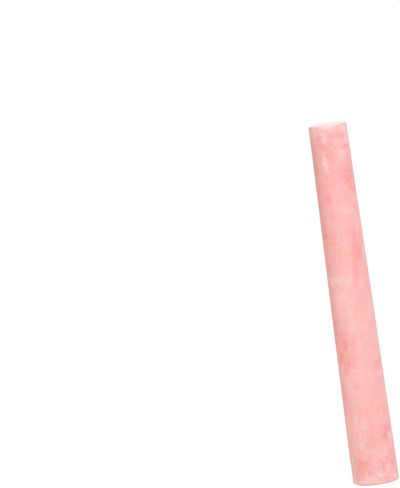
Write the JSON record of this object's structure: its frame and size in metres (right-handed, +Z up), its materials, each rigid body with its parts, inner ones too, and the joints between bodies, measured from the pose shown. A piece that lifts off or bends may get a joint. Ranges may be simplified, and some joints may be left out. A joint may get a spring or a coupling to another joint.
{
  "type": "chalk piece",
  "caption": "Slightly tapered round stick of moulded pink chalk with rubbed edges, standing on its thick end.",
  "frame": {"origin": "middle of the thick end's face, on the surface that the stick stands on", "axes": "+Z up along the stick's axis from the thick end to the thin end, -Y towards the front"},
  "size_m": [0.0102, 0.0102, 0.08],
  "materials": {
    "chalk": "matte, powdery"
  },
  "bodies": {
    "root": {"chalk_stick": "chalk"}
  },
  "joints": []
}
